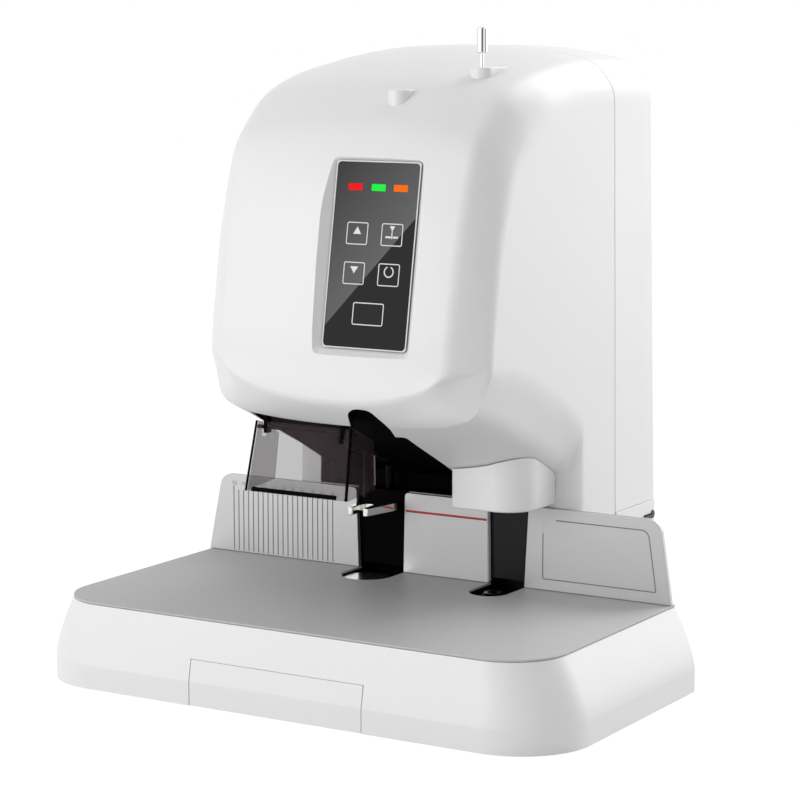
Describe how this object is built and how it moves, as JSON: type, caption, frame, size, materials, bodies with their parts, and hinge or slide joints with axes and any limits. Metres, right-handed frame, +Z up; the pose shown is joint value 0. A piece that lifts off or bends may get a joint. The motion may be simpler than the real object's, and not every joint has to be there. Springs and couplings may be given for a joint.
{
  "type": "document riveting machine",
  "caption": "Desk machine that drills a stack of paper and closes a tube rivet, with an overhanging head, touch keys, paper fence, swinging guard and chip drawer.",
  "frame": {"origin": "on the ground under the middle of the machine's bounding box", "axes": "+X to the operator's right, -Y towards the operator, +Z up"},
  "size_m": [0.456, 0.361, 0.497],
  "materials": {
    "white_plastic": "fine satin moulding",
    "zinc_sheet": "zinc plated sheet",
    "foot_rubber": "plain black rubber",
    "table_grey": "satin grey powder coat",
    "fence_silver": "fine brushed and anodised",
    "black_gloss": "glossy black",
    "black_satin": "satin black",
    "bright_steel": "turned and polished",
    "chrome_foot": "polished",
    "ground_rod": "ground rod",
    "screw_steel": "rolled and oiled thread",
    "spindle_steel": "turned steel",
    "cast_aluminium": "cast and milled",
    "motor_dark": "satin black",
    "belt_rubber": "toothed belt",
    "panel_gloss": "glossy printed film",
    "key_film": "raised film keys",
    "light_red": "lit red lens",
    "light_green": "lit green lens",
    "light_orange": "lit orange lens",
    "board_green": "circuit board",
    "transformer_tape": "taped winding and steel stack",
    "smoked_clear": "smoked clear acrylic"
  },
  "bodies": {
    "machine": {"base_housing": "white_plastic", "base_floor": "zinc_sheet", "foot_front_left": "foot_rubber", "foot_front_right": "foot_rubber", "foot_rear_left": "foot_rubber", "foot_rear_right": "foot_rubber", "table_plate": "table_grey", "fence_left": "fence_silver", "fence_middle": "fence_silver", "fence_right": "fence_silver", "drill_well": "black_gloss", "rivet_well": "black_gloss", "drilling_disc": "bright_steel", "lower_rivet_die": "bright_steel", "front_shell": "white_plastic", "rear_cover": "white_plastic", "rear_base_cover": "white_plastic", "head_roof": "black_gloss", "press_cover": "white_plastic", "panel_plate": "panel_gloss", "power_light": "light_red", "heat_light": "light_green", "fault_light": "light_orange", "control_board": "board_green", "transformer": "transformer_tape", "power_inlet": "black_satin", "fuse_cap": "black_satin", "column_left": "zinc_sheet", "column_right": "zinc_sheet", "top_bridge": "zinc_sheet", "lower_bracket": "zinc_sheet", "drill_rod_left": "ground_rod", "drill_rod_right": "ground_rod", "press_rod_left": "ground_rod", "press_rod_right": "ground_rod", "drill_lift_motor": "motor_dark", "press_lift_motor": "motor_dark", "drawer_runner_left": "zinc_sheet", "drawer_runner_right": "zinc_sheet"},
    "drill_head": {"drill_carriage": "cast_aluminium", "drill_motor": "motor_dark", "drive_belt": "belt_rubber"},
    "drill_tool": {"drill_spindle": "spindle_steel", "hollow_drill_bit": "bright_steel"},
    "pulley": {"motor_pulley": "spindle_steel"},
    "drill_screw_body": {"drill_screw": "screw_steel"},
    "foot": {"press_foot": "chrome_foot"},
    "press_head": {"press_carriage": "cast_aluminium", "upper_rivet_die": "bright_steel"},
    "press_screw_body": {"press_screw": "screw_steel"},
    "drawer_body": {"drawer": "white_plastic"},
    "guard_body": {"drill_guard": "smoked_clear", "guard_pin": "chrome_foot"},
    "needle": {"clearing_needle": "chrome_foot"},
    "up_key": {"key_up": "key_film"},
    "press_key": {"key_press": "key_film"},
    "down_key": {"key_down": "key_film"},
    "reset_key": {"key_reset": "key_film"},
    "start_key": {"key_start": "key_film"},
    "switch": {"power_switch": "black_satin"}
  },
  "joints": [
    {"name": "drill_lift", "type": "slide", "parent": "machine", "child": "drill_head", "axis": [0, 0, -1], "range_m": [0, 0.064]},
    {"name": "spindle_spin", "type": "hinge", "parent": "drill_head", "child": "drill_tool", "pos_m": [-0.0445, 0.021, 0.256], "axis": [0, 0, 1], "continuous": true},
    {"name": "pulley_spin", "type": "hinge", "parent": "drill_head", "child": "pulley", "pos_m": [-0.085, 0.021, 0.331], "axis": [0, 0, 1], "continuous": true},
    {"name": "drill_screw_turn", "type": "hinge", "parent": "machine", "child": "drill_screw_body", "pos_m": [-0.0445, 0.086, 0.415], "axis": [0, 0, 1], "range_deg": [0, 2881]},
    {"name": "foot_press", "type": "slide", "parent": "machine", "child": "foot", "axis": [0, 0, -1], "range_m": [0, 0.0495]},
    {"name": "press_lift", "type": "slide", "parent": "machine", "child": "press_head", "axis": [0, 0, -1], "range_m": [0, 0.07]},
    {"name": "press_screw_turn", "type": "hinge", "parent": "machine", "child": "press_screw_body", "pos_m": [0.0698, 0.086, 0.415], "axis": [0, 0, 1], "range_deg": [0, 3151]},
    {"name": "drawer_slide", "type": "slide", "parent": "machine", "child": "drawer_body", "axis": [0, -1, 0], "range_m": [0, 0.09]},
    {"name": "guard_swing", "type": "hinge", "parent": "machine", "child": "guard_body", "pos_m": [-0.0445, -0.0675, 0.1935], "axis": [-1, 0, 0], "range_deg": [0, 75]},
    {"name": "needle_lift", "type": "slide", "parent": "machine", "child": "needle", "axis": [0, 0, 1], "range_m": [0, 0.045]},
    {"name": "key_up_push", "type": "slide", "parent": "machine", "child": "up_key", "axis": [0, 0.986, -0.1668], "range_m": [0, 0.0005], "stiffness_N_per_m": 800},
    {"name": "key_press_push", "type": "slide", "parent": "machine", "child": "press_key", "axis": [0, 0.986, -0.1668], "range_m": [0, 0.0005], "stiffness_N_per_m": 800},
    {"name": "key_down_push", "type": "slide", "parent": "machine", "child": "down_key", "axis": [0, 0.986, -0.1668], "range_m": [0, 0.0005], "stiffness_N_per_m": 800},
    {"name": "key_reset_push", "type": "slide", "parent": "machine", "child": "reset_key", "axis": [0, 0.986, -0.1668], "range_m": [0, 0.0005], "stiffness_N_per_m": 800},
    {"name": "key_start_push", "type": "slide", "parent": "machine", "child": "start_key", "axis": [0, 0.986, -0.1668], "range_m": [0, 0.0005], "stiffness_N_per_m": 800},
    {"name": "power_switch_rock", "type": "hinge", "parent": "machine", "child": "switch", "pos_m": [0.12965, 0.1647, 0.0975], "axis": [0, 1, 0], "range_deg": [0, 16]}
  ],
  "couplings": [
    {"joint": "pulley_spin", "follows": "spindle_spin", "ratio": 1.5},
    {"joint": "drill_screw_turn", "follows": "drill_lift", "rad_per_m": 785.4},
    {"joint": "foot_press", "follows": "drill_lift", "ratio": 0.7734},
    {"joint": "press_screw_turn", "follows": "press_lift", "rad_per_m": 785.4}
  ]
}
